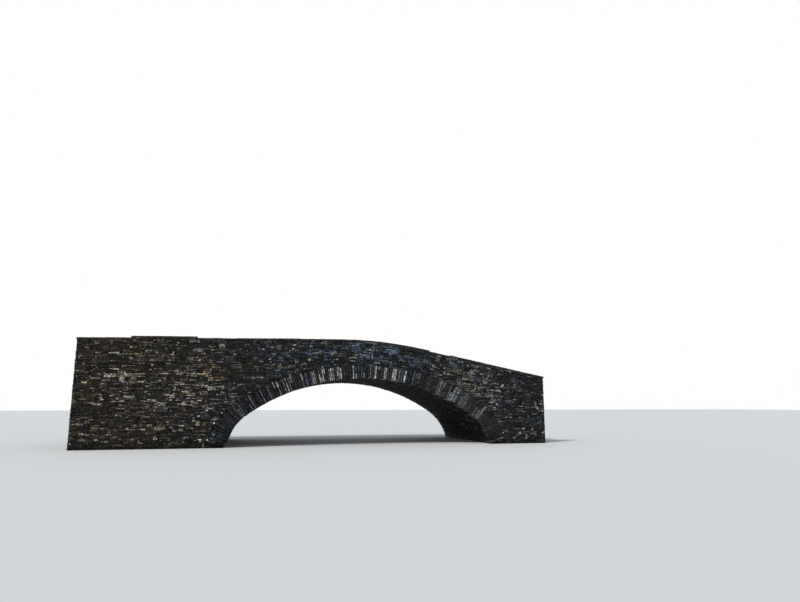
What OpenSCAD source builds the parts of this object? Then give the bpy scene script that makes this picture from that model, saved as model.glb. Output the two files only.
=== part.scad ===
// A single-span slate-rubble arch bridge, in millimetres.
// X runs along the road, Y across it and Z up. The origin is at water level, midway between the
// two ends and midway between the two wall faces. Outlines are drawn from the crown of the arch.

/* [Arch] */
// Height of the soffit above the water at the crown
crown_height = 3020; // [2900:20:3040]
// Radius of the soffit over the middle of the span
crown_radius = 8900; // [8500:100:9400]
// Radius of the soffit at each haunch
haunch_radius = 2500; // [2350:50:2700]
// Angle from the vertical at which the two radii meet
haunch_angle = 35; // [33:1:37]
// Depth of the arch at the crown, from the soffit to the backs of its stones
ring_depth = 560; // [480:10:580]
// Extra depth that the arch gains from the crown to the haunches
ring_growth = 180; // [0:20:180]
// Number of slate voussoirs in each face of the arch
voussoir_count = 112; // [88:8:136]
// Width of the mortar joint between two voussoirs
voussoir_joint = 12; // [6:1:20]

/* [Walls] */
// Width over the two outer wall faces
bridge_width = 7000; // [5000:100:9000]
// Thickness of the walls below the road
wall_thickness = 600; // [450:10:800]
// Thickness of the parapets
parapet_thickness = 420; // [350:10:450]
// Height of the coping's top above the road
parapet_height = 1000; // [800:10:1200]
// Thickness of the coping slabs
coping_thickness = 70; // [50:5:100]
// Distance that the coping stands out from each face and from the two ends
coping_overhang = 40; // [35:5:60]
// Height by which a patch of the near parapet stands above the rest
raised_step = 70; // [40:10:140]

/* [Road] */
// Height of the road above the water where its crest begins, just left of the crown
road_height = 3790; // [3770:10:3900]
// Thickness of the road surface
surfacing = 110; // [80:5:120]
// Rise of the left approach towards the crown, per cent
approach_gradient = 1.8; // [1:0.1:2.6]
// Fall of the right ramp, per cent
ramp_gradient = 20; // [12:1:20]
// Distance from the crown to the left end
left_length = 12100; // [10600:100:16000]
// Distance from the crown to the right end
right_length = 8900; // [8700:100:12000]

/* [Hidden] */

// Sides of the bridge and ends of the span, as signs along Y and X
near = -1;
far = 1;
left = -1;
right = 1;

// Colours of the weathered slate, the fill and the worn road
voussoir_colour = "slategray";
wall_colour = "dimgray";
coping_colour = "gray";
barrel_colour = "darkslategray";
fill_colour = "saddlebrown";
road_colour = "darkgray";

// The crown stands off the middle of the length, because the left approach is the longer
crown_x = (left_length - right_length) / 2;

// Centres of the crown arc and of the right haunch arc
crown_z = crown_height - crown_radius;
haunch_x = (crown_radius - haunch_radius) * sin(haunch_angle);
haunch_z = crown_z + (crown_radius - haunch_radius) * cos(haunch_angle);

// Lengths along the soffit, from the crown
crown_arc = crown_radius * haunch_angle * PI / 180;
half_arc = crown_arc + haunch_radius * (foot_angle(0) - haunch_angle) * PI / 180;
pitch = 2 * half_arc / voussoir_count;

// Joints of the ring at which one stretch of the arch gives way to the next, all even
springer_stones = 2 * round(voussoir_count / 16);
haunch_stones = 2 * round(voussoir_count * 0.1075);
joints = [
    0,
    springer_stones,
    springer_stones + haunch_stones,
    voussoir_count - springer_stones - haunch_stones,
    voussoir_count - springer_stones,
    voussoir_count
];
facet = 2;

// How the voussoirs vary, in millimetres and as shares
voussoir_shift = 0.22;
voussoir_depths = [0.80, 0.99];
voussoir_proud = [4, 30];
voussoir_drop = [4, 16];
ring_recess = 40;
voussoir_bed = 80;

// Masonry backing behind each springing, and the joint at which its top meets the arch
backing_reach = 8400;
backing_height = 1500;
backing_joint = springer_stones + 8;

// Where the wing walls begin, and where the parapets change height or slope
wing_x = 7300;
crest_start = -1500;
crest_length = 4500;
crest_steps = 12;
crest_end = crest_start + crest_length;
raised_from = -10030;
raised_to = -7370;

// Angle from the vertical of the point where a line outside the soffit meets the water
function foot_angle(out) = acos(-haunch_z / (haunch_radius + out));

// Angle of the soffit's normal at a length along it from the crown
function arc_angle(length) =
    sign(length) * (abs(length) <= crown_arc
        ? abs(length) / crown_radius * 180 / PI
        : haunch_angle + (abs(length) - crown_arc) / haunch_radius * 180 / PI);

// Point on the line that runs a given distance outside the soffit
function arch_point(angle, out) = abs(angle) <= haunch_angle
    ? [(crown_radius + out) * sin(angle), crown_z + (crown_radius + out) * cos(angle)]
    : [sign(angle) * haunch_x + (haunch_radius + out) * sin(angle),
       haunch_z + (haunch_radius + out) * cos(angle)];

// Angle of a joint of the ring, which may be shifted along the soffit
function joint_angle(joint, shift = 0) = arc_angle(joint * pitch - half_arc + shift);

// The same point at a joint of the ring, where the first and last joints lie at water level
function joint_point(joint, out, shift = 0) =
    joint <= 0 ? arch_point(-foot_angle(out), out)
    : joint >= voussoir_count ? arch_point(foot_angle(out), out)
    : arch_point(joint_angle(joint, shift), out);

// Depth of the arch, which eases from the crown's to the haunches' and stays so to the water
function ring_depth_at(angle) =
    let (t = min(abs(angle) / haunch_angle, 1))
    ring_depth + ring_growth * pow(t, 2) * (3 - 2 * t);

// Lines along the soffit and along the back of the arch, from one joint to another, either way
function soffit_line(from, to) =
    [for (joint = [from : sign(to - from) * facet : to]) joint_point(joint, 0)];
function back_line(from, to) =
    [for (joint = [from : sign(to - from) * facet : to])
        joint_point(joint, ring_depth_at(joint_angle(joint)))];

// The road falls gently to the left, eases over the crest and drops down the right ramp
function road_z(x) =
    let (rise = approach_gradient / 100, fall = ramp_gradient / 100, run = x - crest_start)
    road_height + (
        run <= 0 ? rise * run
        : run <= crest_length ? rise * run - (rise + fall) * pow(run, 2) / (2 * crest_length)
        : (rise - fall) * crest_length / 2 - fall * (run - crest_length));

// Stations along the road between two ends, close together only over the crest
function stations(from, to) = concat(
    [from],
    [for (i = [0 : crest_steps])
        let (x = crest_start + i * crest_length / crest_steps)
        if (x > from && x < to) x],
    [to]);

// A line parallel to the road, and the same line taken backwards
function road_line(from, to, rise) = [for (x = stations(from, to)) [x, road_z(x) + rise]];
function backwards(points) = [for (i = [len(points) - 1 : -1 : 0]) points[i]];

// A band of even height that follows the road
function road_band(from, to, low, high) =
    concat(road_line(from, to, low), backwards(road_line(from, to, high)));

function flipped(points, end) = [for (p = points) [end * p[0], p[1]]];

// An upright outline given thickness across the bridge
module upright(points, y_low, thickness) {
    translate([crown_x, y_low + thickness, 0])
        rotate([90, 0, 0])
            linear_extrude(thickness)
                polygon(points);
}

// The same, built inwards from one wall face, or from a plane set in from it
module from_face(points, side, thickness, set_in = 0) {
    face = bridge_width / 2 - set_in;
    upright(points, side == near ? -face : face - thickness, thickness);
}

// One stretch of the arch, from one joint to another
function arch_band(part) = concat(
    soffit_line(joints[part], joints[part + 1]),
    back_line(joints[part + 1], joints[part]));

// One wedge of slate, which stands a little proud of the wall and hangs a little below the soffit
module voussoir(joint, side, shifts, share, proud, drop) {
    gap = voussoir_joint / 2;
    depth = share * ring_depth_at(joint_angle(joint + 0.5));
    from_face(
        [
            joint_point(joint, -drop, shifts[0] + gap),
            joint_point(joint + 1, -drop, shifts[1] - gap),
            joint_point(joint + 1, depth, shifts[1] - gap),
            joint_point(joint, depth, shifts[0] + gap)
        ],
        side, voussoir_bed + proud, -proud);
}

// The voussoirs of one stretch on the recessed band that carries them
module arch_ring(part, side) {
    seed = side == near ? 11 : 23;
    shares = rands(-voussoir_shift, voussoir_shift, voussoir_count + 1, seed);
    depths = rands(voussoir_depths[0], voussoir_depths[1], voussoir_count, seed + 1);
    prouds = rands(voussoir_proud[0], voussoir_proud[1], voussoir_count, seed + 2);
    drops = rands(voussoir_drop[0], voussoir_drop[1], voussoir_count, seed + 3);
    shifts = [for (i = [0 : voussoir_count])
        search(i, joints) == [] ? shares[i] * pitch : 0];
    color(voussoir_colour)
        union() {
            from_face(arch_band(part), side, wall_thickness - ring_recess, ring_recess);
            for (i = [joints[part] : joints[part + 1] - 1])
                voussoir(i, side, [shifts[i], shifts[i + 1]], depths[i], prouds[i], drops[i]);
        }
}

// The vault between the two faces
module barrel(part) {
    color(barrel_colour)
        upright(arch_band(part), wall_thickness - bridge_width / 2,
            bridge_width - 2 * wall_thickness);
}

// Masonry that backs the springing, between the walls
module abutment(end) {
    outline = concat(
        [[-backing_reach, 0]],
        back_line(0, backing_joint),
        [[-backing_reach, backing_height]]);
    color(wall_colour)
        upright(flipped(outline, -end), wall_thickness - bridge_width / 2,
            bridge_width - 2 * wall_thickness);
}

// Rubble and earth between the walls, over the backing and the arch
module fill(end) {
    middle = voussoir_count / 2;
    reach = end == left ? left_length : right_length;
    under_road = end == left
        ? road_line(-left_length, 0, -surfacing)
        : flipped(backwards(road_line(0, right_length, -surfacing)), -1);
    outline = concat(
        [[-backing_reach, 0], [-reach, 0]],
        under_road,
        back_line(middle, backing_joint),
        [[-backing_reach, backing_height]]);
    color(fill_colour)
        upright(flipped(outline, -end), wall_thickness - bridge_width / 2,
            bridge_width - 2 * wall_thickness);
}

// Wall from the back of the arch up to the underside of the road
module spandrel(end, side) {
    middle = voussoir_count / 2;
    under_road = end == left
        ? road_line(-wing_x, 0, -surfacing)
        : flipped(backwards(road_line(0, wing_x, -surfacing)), -1);
    outline = concat([[-wing_x, 0]], under_road, back_line(middle, 0));
    color(wall_colour)
        from_face(flipped(outline, -end), side, wall_thickness);
}

// Retaining wall of the approach, beyond the arch
module wing_wall(end, side) {
    from = end == left ? -left_length : wing_x;
    to = end == left ? -wing_x : right_length;
    color(wall_colour)
        from_face(concat([[to, 0], [from, 0]], road_line(from, to, -surfacing)),
            side, wall_thickness);
}

module road(from, to) {
    inner = bridge_width / 2 - parapet_thickness;
    color(road_colour)
        upright(road_band(from, to, -surfacing, 0), -inner, 2 * inner);
}

// Parapet from the wall's top to the underside of its coping
module parapet(from, to, side, step = 0) {
    top = parapet_height - coping_thickness + step;
    color(wall_colour)
        from_face(road_band(from, to, -surfacing, top), side, parapet_thickness);
}

// Coping that overhangs both faces of the parapet, and its ends too
module coping(from, to, side, step = 0) {
    top = parapet_height + step;
    color(coping_colour)
        from_face(road_band(from, to, top - coping_thickness, top), side,
            parapet_thickness + 2 * coping_overhang, -coping_overhang);
}

module near_ring_left_springer() arch_ring(0, near);
module near_ring_left_haunch() arch_ring(1, near);
module near_ring_crown() arch_ring(2, near);
module near_ring_right_haunch() arch_ring(3, near);
module near_ring_right_springer() arch_ring(4, near);
module far_ring_left_springer() arch_ring(0, far);
module far_ring_left_haunch() arch_ring(1, far);
module far_ring_crown() arch_ring(2, far);
module far_ring_right_haunch() arch_ring(3, far);
module far_ring_right_springer() arch_ring(4, far);

module barrel_left_springer() barrel(0);
module barrel_left_haunch() barrel(1);
module barrel_crown() barrel(2);
module barrel_right_haunch() barrel(3);
module barrel_right_springer() barrel(4);

module left_abutment() abutment(left);
module right_abutment() abutment(right);
module left_fill() fill(left);
module right_fill() fill(right);

module near_left_wing_wall() wing_wall(left, near);
module near_left_spandrel() spandrel(left, near);
module near_right_spandrel() spandrel(right, near);
module near_right_wing_wall() wing_wall(right, near);
module far_left_wing_wall() wing_wall(left, far);
module far_left_spandrel() spandrel(left, far);
module far_right_spandrel() spandrel(right, far);
module far_right_wing_wall() wing_wall(right, far);

module left_road() road(-left_length, crest_start);
module crest_road() road(crest_start, crest_end);
module ramp_road() road(crest_end, right_length);

module near_parapet_end() parapet(-left_length, raised_from, near);
module near_parapet_raised() parapet(raised_from, raised_to, near, raised_step);
module near_parapet_centre() parapet(raised_to, crest_end, near);
module near_parapet_ramp() parapet(crest_end, right_length, near);
module far_parapet_end() parapet(-left_length, raised_to, far);
module far_parapet_centre() parapet(raised_to, crest_end, far);
module far_parapet_ramp() parapet(crest_end, right_length, far);

module near_coping_end() coping(-left_length - coping_overhang, raised_from, near);
module near_coping_raised() coping(raised_from, raised_to, near, raised_step);
module near_coping_centre() coping(raised_to, crest_end, near);
module near_coping_ramp() coping(crest_end, right_length + coping_overhang, near);
module far_coping_end() coping(-left_length - coping_overhang, raised_to, far);
module far_coping_centre() coping(raised_to, crest_end, far);
module far_coping_ramp() coping(crest_end, right_length + coping_overhang, far);

near_ring_left_springer();
near_ring_left_haunch();
near_ring_crown();
near_ring_right_haunch();
near_ring_right_springer();
far_ring_left_springer();
far_ring_left_haunch();
far_ring_crown();
far_ring_right_haunch();
far_ring_right_springer();
barrel_left_springer();
barrel_left_haunch();
barrel_crown();
barrel_right_haunch();
barrel_right_springer();
left_abutment();
right_abutment();
left_fill();
right_fill();
near_left_wing_wall();
near_left_spandrel();
near_right_spandrel();
near_right_wing_wall();
far_left_wing_wall();
far_left_spandrel();
far_right_spandrel();
far_right_wing_wall();
left_road();
crest_road();
ramp_road();
near_parapet_end();
near_parapet_raised();
near_parapet_centre();
near_parapet_ramp();
far_parapet_end();
far_parapet_centre();
far_parapet_ramp();
near_coping_end();
near_coping_raised();
near_coping_centre();
near_coping_ramp();
far_coping_end();
far_coping_centre();
far_coping_ramp();
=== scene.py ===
import math

import bpy
import numpy as np
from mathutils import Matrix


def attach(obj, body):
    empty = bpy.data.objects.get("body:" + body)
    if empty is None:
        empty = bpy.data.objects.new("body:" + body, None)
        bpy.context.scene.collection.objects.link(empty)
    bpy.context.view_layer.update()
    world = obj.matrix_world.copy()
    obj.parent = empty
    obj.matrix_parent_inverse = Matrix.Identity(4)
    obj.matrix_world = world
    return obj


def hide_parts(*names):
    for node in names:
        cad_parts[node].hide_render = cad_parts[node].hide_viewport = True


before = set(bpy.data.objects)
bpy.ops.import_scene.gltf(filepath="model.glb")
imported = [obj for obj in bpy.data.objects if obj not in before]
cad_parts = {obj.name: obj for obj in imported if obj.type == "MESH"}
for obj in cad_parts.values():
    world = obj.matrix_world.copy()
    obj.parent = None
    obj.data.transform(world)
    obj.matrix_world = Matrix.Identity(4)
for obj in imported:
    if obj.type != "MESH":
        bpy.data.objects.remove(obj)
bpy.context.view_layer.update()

# The bridge's measures in metres, as its solids have them; along the road they count from the crown
bridge = {
    "crownX": 1.6, "leftEnd": -12.1, "rightEnd": 8.9, "faceY": 3.5, "wall": 0.6, "surfacing": 0.11,
    "parapet": 0.42, "parapetHeight": 1.0, "coping": 0.07, "overhang": 0.04,
}
arch = {
    "crownHeight": 3.02, "crownRadius": 8.9, "haunchRadius": 2.5, "haunchAngle": math.radians(35),
    "depth": 0.56, "growth": 0.18,
}
roadLine = {"height": 3.79, "approach": 0.018, "ramp": 0.2, "crestStart": -1.5, "crestLength": 4.5}
raisedPatch = {"from": -10.03, "to": -7.37, "step": 0.07}
# Where the random draws of each group start
seeds = {
    "nearRing": 601, "farRing": 611, "nearWalls": 101, "farWalls": 201, "vault": 301, "leftEnd": 401,
    "rightEnd": 501, "nearCoping": 701, "farCoping": 702, "road": 801, "looseStones": 811,
}

sides = {"near": -1, "far": 1}
ends = (bridge["leftEnd"], bridge["rightEnd"])
faceY = bridge["faceY"]
roadHalf = faceY - bridge["parapet"]
parapetBase = bridge["parapetHeight"] - bridge["coping"]
wallTop = roadLine["height"] - bridge["surfacing"]
crownZ = arch["crownHeight"] - arch["crownRadius"]
haunchX = (arch["crownRadius"] - arch["haunchRadius"]) * math.sin(arch["haunchAngle"])
haunchZ = crownZ + (arch["crownRadius"] - arch["haunchRadius"]) * math.cos(arch["haunchAngle"])
footAngle = math.acos(-haunchZ / arch["haunchRadius"])
crownArc = arch["crownRadius"] * arch["haunchAngle"]
halfArc = crownArc + arch["haunchRadius"] * (footAngle - arch["haunchAngle"])
outerFoot = math.acos(-haunchZ / (arch["haunchRadius"] + arch["depth"] + arch["growth"]))
ringArc = crownArc + arch["haunchRadius"] * (outerFoot - arch["haunchAngle"])
joined = np.concatenate


# Height of the road: a gentle rise, a parabola that eases over the crest, then a steady fall
def roadHeight(x):
    run = np.asarray(x, float) - roadLine["crestStart"]
    crest = np.clip(run, 0, roadLine["crestLength"])
    bend = (roadLine["approach"] + roadLine["ramp"]) * crest ** 2 / (2 * roadLine["crestLength"])
    level = roadLine["height"] + roadLine["approach"] * (np.minimum(run, 0) + crest)
    return level - bend - roadLine["ramp"] * np.maximum(run - roadLine["crestLength"], 0)


# Angle of the soffit's normal at a length along it from the crown: length over radius, the crown's
# first and the haunch's beyond it
def archAngle(arc):
    beyond = np.maximum(np.abs(arc) - crownArc, 0)
    inside = np.minimum(np.abs(arc), crownArc)
    return np.sign(arc) * (inside / arch["crownRadius"] + beyond / arch["haunchRadius"])


# Place at a distance outside the soffit: on the crown's circle as far as the haunch angle, then on
# the haunch's
def archPoint(angle, out):
    crown = np.abs(angle) <= arch["haunchAngle"]
    radius = np.where(crown, arch["crownRadius"], arch["haunchRadius"]) + out
    x = np.where(crown, 0, np.sign(angle) * haunchX) + radius * np.sin(angle)
    z = np.where(crown, crownZ, haunchZ) + radius * np.cos(angle)
    return x, z


# Depth of the ring, which eases from the crown's to the haunch's as 3t^2 - 2t^3
def ringDepth(angle):
    t = np.minimum(np.abs(angle) / arch["haunchAngle"], 1)
    return arch["depth"] + arch["growth"] * t ** 2 * (3 - 2 * t)


# Points of the frame from places along the road from the crown, across it and up
def framePoints(s, y, z):
    return np.stack(np.broadcast_arrays(s + bridge["crownX"], y, z), axis=-1)


# Linear colour of three numbers from 0 to 255, by the usual display curve
def colour(red, green, blue):
    share = np.array([red, green, blue]) / 255
    return np.where(share <= 0.04045, share / 12.92, ((share + 0.055) / 1.055) ** 2.4)


# One shader socket; sums and products of sockets add Math nodes
class Value:
    def __init__(self, graph, socket):
        self.graph = graph
        self.socket = socket

    def math(self, operation, first, second=0.0):
        return self.graph.node("ShaderNodeMath", {"operation": operation}, {0: first, 1: second})

    def __add__(self, other):
        return self.math("ADD", self, other)

    def __radd__(self, other):
        return self.math("ADD", other, self)

    def __sub__(self, other):
        return self.math("SUBTRACT", self, other)

    def __rsub__(self, other):
        return self.math("SUBTRACT", other, self)

    def __mul__(self, other):
        return self.math("MULTIPLY", self, other)

    def __rmul__(self, other):
        return self.math("MULTIPLY", other, self)

    def __abs__(self):
        return self.math("ABSOLUTE", self)

    def larger(self, other):
        return self.math("MAXIMUM", self, other)

    # Rises smoothly from 0 to 1 between two values
    def between(self, low, high):
        sockets = {"Value": self, "From Min": low, "From Max": high}
        return self.graph.node("ShaderNodeMapRange", {"interpolation_type": "SMOOTHSTEP"}, sockets)

    # Another output of the same node
    def other(self, output):
        return Value(self.graph, self.socket.node.outputs[output])


# One node tree, to which any node is added by its type, its settings and its sockets
class Graph:
    def __init__(self, owner):
        owner.use_nodes = True
        self.owner = owner
        self.tree = owner.node_tree
        self.tree.nodes.clear()

    def node(self, kind, settings=None, sockets=None, output=0):
        made = self.tree.nodes.new(kind)
        for name, value in (settings or {}).items():
            setattr(made, name, value)
        for name, value in (sockets or {}).items():
            if isinstance(value, Value):
                self.tree.links.new(value.socket, made.inputs[name])
            elif isinstance(value, np.ndarray):
                made.inputs[name].default_value = (*value, 1.0)
            else:
                made.inputs[name].default_value = value
        return Value(self, made.outputs[output]) if len(made.outputs) else made

    def mix(self, share, first, second, blend="MIX"):
        settings = {"data_type": "RGBA", "blend_type": blend}
        return self.node("ShaderNodeMix", settings, {0: share, 6: first, 7: second}, 2)

    def place(self):
        return self.node("ShaderNodeTexCoord", output="Object")

    def attribute(self, name, output="Vector"):
        return self.node("ShaderNodeAttribute", {"attribute_name": name}, output=output)

    def stretched(self, vector, scale):
        return self.node("ShaderNodeVectorMath", {"operation": "MULTIPLY"}, {0: vector, 1: scale})

    def part(self, vector, axis):
        return self.node("ShaderNodeSeparateXYZ", None, {0: vector}, axis)

    def noise(self, vector, scale, detail=4.0, rough=0.55):
        sockets = {"Vector": vector, "Scale": scale, "Detail": detail, "Roughness": rough}
        return self.node("ShaderNodeTexNoise", None, sockets)

    # Round spots: the distance to scattered points, kept only where the point's own number is high
    def spots(self, vector, scale, radius, share):
        cell = self.node("ShaderNodeTexVoronoi", None, {"Vector": vector, "Scale": scale}, "Distance")
        chance = self.node("ShaderNodeSeparateColor", None, {0: cell.other("Color")}, 0)
        ragged = cell + 0.3 * self.noise(vector, scale * 4, 3.0) - 0.15
        return (1 - ragged.between(radius * 0.75, radius)) * chance.between(1 - share, 1.02 - share)

    # Damp over the water: full below the first height, gone above the second, ragged between them
    def damp(self):
        height = self.part(self.place(), 2)
        return 1 - (height + 0.4 * self.noise(self.place(), 1.6, 5.0)).between(*dampHeights)

    # The whole of a nearly matt surface, with a bump by height
    def surface(self, base, roughness, height, values):
        relief = {"Height": height, "Strength": values["bump"], "Distance": values["relief"]}
        bump = self.node("ShaderNodeBump", None, relief)
        sockets = {"Base Color": base, "Roughness": roughness, "Normal": bump, "Specular IOR Level": sheen}
        shader = self.node("ShaderNodeBsdfPrincipled", None, sockets)
        self.node("ShaderNodeOutputMaterial", None, {"Surface": shader})
        return self.owner


dampHeights = (0.25, 0.7)
sheen = 0.05
# Each finish over the stones' own tints has a strength and a colour
slate = {
    "facets": 1.6, "facetsMean": 0.45,
    "drift": 1.06, "driftMean": 0.51,
    "stain": 0.75, "stainColour": (13, 13, 12),
    "wear": 0.45, "wearColour": (112, 112, 110),
    "ochre": 0.45, "ochreColour": (108, 84, 46),
    "pale": 0.55, "paleColour": (142, 144, 136), "discs": 7.0, "discShare": 0.1,
    "moss": 0.5, "mossColour": (56, 58, 34), "mossSpread": (0.46, 0.6),
    "damp": 0.72, "dampColour": (20, 20, 17),
    "bump": 0.8, "relief": 0.008,
}


# Slate: a stone's own tint times a grey of mottling plus cleavage streaks, times facets and drift
# that average to 1, under stains that are partly painted shadow, worn arrises that on the coping are
# mostly a painted highlight, ochre and pale lichen, moss on ledges and damp
def slateMaterial(name, **changes):
    values = dict(slate, **changes)
    graph = Graph(bpy.data.materials.new(name))
    place, grain = graph.place(), graph.attribute("grain")
    tint, edge = graph.attribute("tint", "Color"), graph.attribute("tint", "Alpha")
    cleft = graph.noise(graph.stretched(grain, (1.0, 16.0, 1.0)), 4.0, 5.0, 0.62).between(0.3, 0.7)
    mottle = graph.noise(grain, 13.0, 6.0, 0.66).between(0.3, 0.7)
    fine = graph.noise(grain, 120.0, 3.0, 0.7)
    facets = graph.noise(graph.stretched(grain, (1.0, 1.8, 1.0)), 11.0, 2.0, 0.5).between(0.41, 0.6)
    drift = graph.noise(graph.stretched(place, (1.0, 1.0, 2.0)), 3.2, 5.0, 0.62).between(0.36, 0.64)
    shade = (0.42 + 0.66 * mottle + 0.46 * cleft) * (1 + (facets - values["facetsMean"]) * values["facets"])
    shade = shade * (1 + (drift - values["driftMean"]) * values["drift"])
    grey = graph.node("ShaderNodeCombineColor", None, {0: shade, 1: shade, 2: shade})
    base = graph.mix(1.0, tint, grey, "MULTIPLY")
    # Large dark clouds, partly stains and partly painted tree shadow; the runs are run-off streaks
    cloud = graph.noise(place, 0.45, 6.0, 0.62).between(0.44, 0.64)
    runs = graph.noise(graph.stretched(place, (1.0, 1.0, 0.11)), 2.6, 4.0, 0.6).between(0.52, 0.72)
    lichen = graph.noise(place, 3.4, 9.0, 0.72).between(0.58, 0.68) * 0.6
    discs = graph.spots(place, values["discs"], 0.3, values["discShare"])
    up = graph.part(graph.node("ShaderNodeNewGeometry", output="Normal"), 2)
    moss = up.between(0.3, 0.85) * graph.noise(place, 2.6, 7.0, 0.7).between(*values["mossSpread"])
    damp = graph.damp()
    finishes = {
        "stain": (cloud * 0.75 + runs * 0.5) * (0.55 + 0.45 * mottle),
        "wear": edge * (0.6 * mottle + 0.6 * fine).between(0.35, 0.8),
        "ochre": graph.noise(place, 1.9, 9.0, 0.74).between(0.6, 0.7) * (0.4 + 0.6 * cleft),
        "pale": lichen.larger(discs * (0.5 + 0.5 * mottle)),
        "moss": moss,
        "damp": damp,
    }
    for finish, share in finishes.items():
        base = graph.mix(share * values[finish], base, colour(*values[finish + "Colour"]))
    roughness = 0.84 - 0.2 * cleft + 0.1 * moss - 0.28 * damp
    height = 0.9 * cleft + 0.55 * mottle + 0.35 * fine + 0.5 * moss
    return graph.surface(base, roughness, height, values)


# Mortar, earth or surfacing: two colours mixed by noise and embedded grit, and on a road pale wheel
# tracks, and moss that thickens towards the parapets
def mineralMaterial(name, values):
    graph = Graph(bpy.data.materials.new(name))
    place = graph.place()
    cloud = graph.noise(place, values["cloud"], 6.0, 0.62).between(0.34, 0.68)
    grain = graph.noise(place, values["grain"], 4.0, 0.7)
    grit = graph.spots(place, values["grit"], 0.42, 0.55)
    stones = grit.larger(graph.spots(place, values["grit"] * 0.45, 0.36, 0.3))
    base = graph.mix(cloud, colour(*values["dark"]), colour(*values["light"]))
    chips = colour(*values["chipDark"]), colour(*values["chip"])
    tone = graph.mix(graph.noise(place, values["grit"] * 0.3, 2.0), *chips)
    base = graph.mix(stones * values["specks"], base, tone)
    if "verge" in values:
        across = abs(graph.part(place, 1)) + 0.5 * graph.noise(place, 2.2, 6.0, 0.7) - 0.25
        tracks = across.between(0.4, 0.75) * (1 - across.between(1.05, 1.6))
        worn = tracks * (0.35 + 0.5 * graph.noise(place, 5.0, 5.0, 0.7))
        base = graph.mix(worn, base, colour(*values["tracks"]))
        middle = (1 - across.between(0.18, 0.5)) * values["crown"]
        green = across.between(2.35, 2.95).larger(middle)
        dirt = green * graph.noise(place, 9.0, 6.0, 0.7).between(0.36, 0.56)
        base = graph.mix(dirt * 0.85, base, colour(*values["verge"]))
    damp = graph.damp()
    base = graph.mix(damp * 0.6, base, colour(*values["dampColour"]))
    roughness = 0.95 - 0.12 * stones - 0.25 * damp
    return graph.surface(base, roughness, grain + 0.8 * cloud + 0.9 * stones, values)


wallSlate = slateMaterial("wallSlate")
ringSlate = slateMaterial(
    "ringSlate", facets=1.1, drift=0.5, stain=0.22, wear=0.6, wearColour=(124, 124, 123), pale=0.6)
vaultSlate = slateMaterial("vaultSlate", stain=0.6, pale=0.2, ochre=0.15, wear=0.25, discShare=0.02)
# On the coping the pale arrises are mostly a painted highlight: the slabs' edges lit as if by the sun
copingSlate = slateMaterial(
    "copingSlate", moss=0.7, mossSpread=(0.47, 0.58), wear=0.85, wearColour=(150, 144, 128), discShare=0.25)
mortar = mineralMaterial("oldMortar", {
    "cloud": 1.4, "grain": 60.0, "grit": 90.0, "dark": (15, 14, 13), "light": (33, 31, 27),
    "specks": 0.5, "chipDark": (40, 38, 34), "chip": (72, 68, 60), "dampColour": (11, 10, 9),
    "bump": 0.9, "relief": 0.012,
})
packedEarth = mineralMaterial("packedEarth", {
    "cloud": 1.1, "grain": 45.0, "grit": 34.0, "dark": (40, 33, 25), "light": (68, 57, 44),
    "specks": 0.7, "chipDark": (52, 50, 47), "chip": (98, 92, 82), "dampColour": (24, 20, 16),
    "bump": 1.0, "relief": 0.02,
})
wornRoad = mineralMaterial("wornRoad", {
    "cloud": 2.3, "grain": 70.0, "grit": 62.0, "dark": (66, 64, 60), "light": (86, 83, 77),
    "specks": 0.75, "chipDark": (54, 56, 60), "chip": (108, 105, 98), "dampColour": (60, 58, 54),
    "verge": (52, 52, 30), "crown": 0.7, "tracks": (104, 101, 95), "bump": 0.8, "relief": 0.008,
})
for name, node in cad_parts.items():
    core = packedEarth if "fill" in name else wornRoad if "road" in name else mortar
    node.data.materials.clear()
    node.data.materials.append(core)
print("materials made")


# One mesh object from points, faces grouped by number of corners, and each point's tint and grain
def makePiece(name, material, slot, points, faces, tints=None, grains=None, smooth=False):
    mesh = bpy.data.meshes.new(name)
    corners = joined([group.ravel() for group in faces])
    totals = joined([np.full(len(group), group.shape[1]) for group in faces])
    mesh.vertices.add(points.size // 3)
    mesh.vertices.foreach_set("co", points.astype(np.float32).ravel())
    mesh.loops.add(len(corners))
    mesh.loops.foreach_set("vertex_index", corners.astype(np.int32))
    mesh.polygons.add(len(totals))
    mesh.polygons.foreach_set("loop_start", (np.cumsum(totals) - totals).astype(np.int32))
    mesh.polygons.foreach_set("use_smooth", np.full(len(totals), smooth))
    mesh.update(calc_edges=True)
    if tints is not None:
        layer = mesh.color_attributes.new("tint", "FLOAT_COLOR", "POINT")
        layer.data.foreach_set("color", tints.astype(np.float32).ravel())
        layer = mesh.attributes.new("grain", "FLOAT_VECTOR", "POINT")
        layer.data.foreach_set("vector", grains.astype(np.float32).ravel())
    mesh.materials.append(material)
    piece = bpy.data.objects.new(name, mesh)
    bpy.context.scene.collection.objects.link(piece)
    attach(piece, "root")
    print(name, len(totals), "faces")
    return piece


# The same tint for all points of a stone, with each point's weight of worn arris, and on the coping
# of painted highlight, as the fourth number
def tintPoints(tint, sections, around, wear):
    tints = np.empty((len(tint), sections, around, 4))
    tints[..., :3] = tint[:, None, None]
    tints[..., 3] = wear
    return tints


# Each stone's points moved by one random step, so that no two stones share their grain
def ownGrain(rng, points):
    return points + rng.uniform(-50, 50, (len(points), *[1] * (points.ndim - 2), 3))


# How courses are cut: most stones over one another and how uneven, where a stone breaks, the least
# bend that is a kink, the limits of a bed's two sine waves (height, turns, phase), places to try
coursing = {
    "most": 6, "uneven": 0.32, "breakAt": (0.25, 0.75), "kink": 0.002,
    "waves": ([0, 0.5, 0, 0, 2.5, 0], [1, 1.4, 6.3, 0.6, 5.0, 6.3]), "tries": np.linspace(0, 1, 17),
}


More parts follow.
